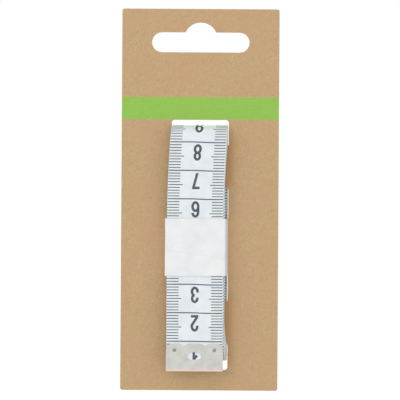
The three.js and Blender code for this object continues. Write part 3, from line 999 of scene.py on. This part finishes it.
def white_paper():
    """Uncoated paper with short fibres, faint crossing creases painted a little greyer as shade, and slightly
    soiled edges.
    """
    material, graph, inputs, place = surface("white_paper")
    x, _, z = graph.axes(place)
    fibres = graph.noise(graph.stretched(place, (2.5, 1.0, 1.0)), 3200, 4, 0.65)
    cloud = graph.noise(place, 200, 2)
    stray = (graph.noise(place, 120, 2) - 0.5) * CREASE_STRAY
    crease_relief_and_shade = 0.0
    for slope, height, half_width, strength in CREASES:
        from_crease = graph.math("ABSOLUTE", z - slope * x - height + stray)
        crease_relief_and_shade = crease_relief_and_shade + strength * graph.ramp(from_crease, half_width, 0.0)
    colour = graph.mix(graph.ramp(cloud, 0.3, 0.7), shown(231, 234, 236), shown(239, 240, 241))
    colour = graph.mix(0.25 * graph.ramp(fibres, 0.5, 0.7), colour, shown(222, 223, 226))
    from_middle = graph.math("ABSOLUTE", z - BAND_MIDDLE)
    soiled = graph.ramp(from_middle, BAND_HEIGHT / 2 - SOILED_WIDTH, BAND_HEIGHT / 2)
    colour = graph.mix(0.3 * soiled, colour, shown(216, 215, 214))
    # Painted shade: the creases are painted a little greyer, as well as raised in the bump.
    feed(
        graph,
        inputs,
        Base_Color=graph.mix(0.12 * crease_relief_and_shade, colour, shown(200, 202, 206)),
        Roughness=graph.ramp(fibres, 0.3, 0.7, 0.78, 0.9),
        Normal=bump(graph, 0.35 * fibres + 0.8 * crease_relief_and_shade, 0.03 * MM, 0.35),
    )
    inputs["Specular IOR Level"].default_value = 0.3
    return material


band, band_length = band_piece()
dress(band, white_paper())
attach(band, "band")
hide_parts("paper_band")


# Light: a white room for what the camera and shiny faces see, a plain grey one for the rest, and
# soft lamps, wide ones in front and behind and small ones above and below. The card hangs well
# above the floor, which is as white as the room wherever no shadow falls on it.
ROOM_LIGHT = 0.55
FLOOR_HEIGHT = -0.3
FLOOR_REACH = 6.0

world = bpy.data.worlds.new("studio")
bpy.context.scene.world = world
world.use_nodes = True
room = Graph(world.node_tree)
world.node_tree.nodes.clear()
rays = world.node_tree.nodes.new("ShaderNodeLightPath")
ray_kinds = ("Camera", "Transmission", "Glossy")
direct, through, mirrored = (Wire(room, rays.outputs[f"Is {kind} Ray"]) for kind in ray_kinds)
white_share = room.math("MAXIMUM", room.math("MAXIMUM", direct, through), 0.85 * mirrored)
light = ROOM_LIGHT + (1 - ROOM_LIGHT) * white_share
background = room.node("ShaderNodeBackground", None, {"Color": (1, 1, 1, 1), "Strength": light})
world_output = world.node_tree.nodes.new("ShaderNodeOutputWorld")
world.node_tree.links.new(background.socket, world_output.inputs[0])


def soft_lamp(name, place, target, size, power, colour=(1, 1, 1)):
    data = bpy.data.lights.new(name, "AREA")
    data.shape = "SQUARE"
    data.size = size
    data.energy = power
    data.color = colour
    lamp = bpy.data.objects.new(name, data)
    lamp.location = place
    lamp.rotation_euler = (Vector(target) - Vector(place)).to_track_quat("-Z", "Y").to_euler()
    bpy.context.collection.objects.link(lamp)


aim = (0, 0, -0.07)
soft_lamp("key", (-0.6, -0.95, 0.35), aim, 0.9, 3.55)
soft_lamp("fill", (0.6, -1.0, 0.05), aim, 1.0, 2.4)
soft_lamp("bounce", (0.0, -0.5, -0.27), aim, 0.35, 0.3, (1.0, 0.93, 0.86))
soft_lamp("top", (-0.05, -0.3, 0.55), aim, 0.35, 0.5)
soft_lamp("back", (0.3, 1.0, 0.3), aim, 0.9, 5.0)


def studio_white():
    material, graph, inputs, _ = surface("studio_white")
    path = graph.tree.nodes.new("ShaderNodeLightPath")
    seen = Wire(graph, path.outputs["Is Camera Ray"])
    mirrored = Wire(graph, path.outputs["Is Glossy Ray"])
    mirrored = graph.math("MAXIMUM", mirrored, Wire(graph, path.outputs["Is Transmission Ray"]))
    glow = graph.mix(mirrored, (0, 0, 0, 1), (0.62, 0.62, 0.62, 1))
    feed(
        graph,
        inputs,
        Base_Color=graph.mix(seen, (0.85, 0.85, 0.85, 1), (0.2, 0.2, 0.2, 1)),
        Emission_Color=graph.mix(seen, glow, (0.9, 0.9, 0.9, 1)),
    )
    inputs["Emission Strength"].default_value = 1.0
    inputs["Roughness"].default_value = 0.9
    inputs["Specular IOR Level"].default_value = 0.0
    return material


def stage_plane(name, corners):
    mesh = bpy.data.meshes.new(name)
    mesh.from_pydata(corners, [], [(0, 1, 2, 3)])
    plane = new_object(name, mesh)
    dress(plane, studio_white())


floor_corners = ((-1, -1), (1, -1), (1, 1), (-1, 1))
stage_plane("floor", [(x * FLOOR_REACH, y * FLOOR_REACH, FLOOR_HEIGHT) for x, y in floor_corners])

bpy.context.scene.view_settings.view_transform = "Standard"
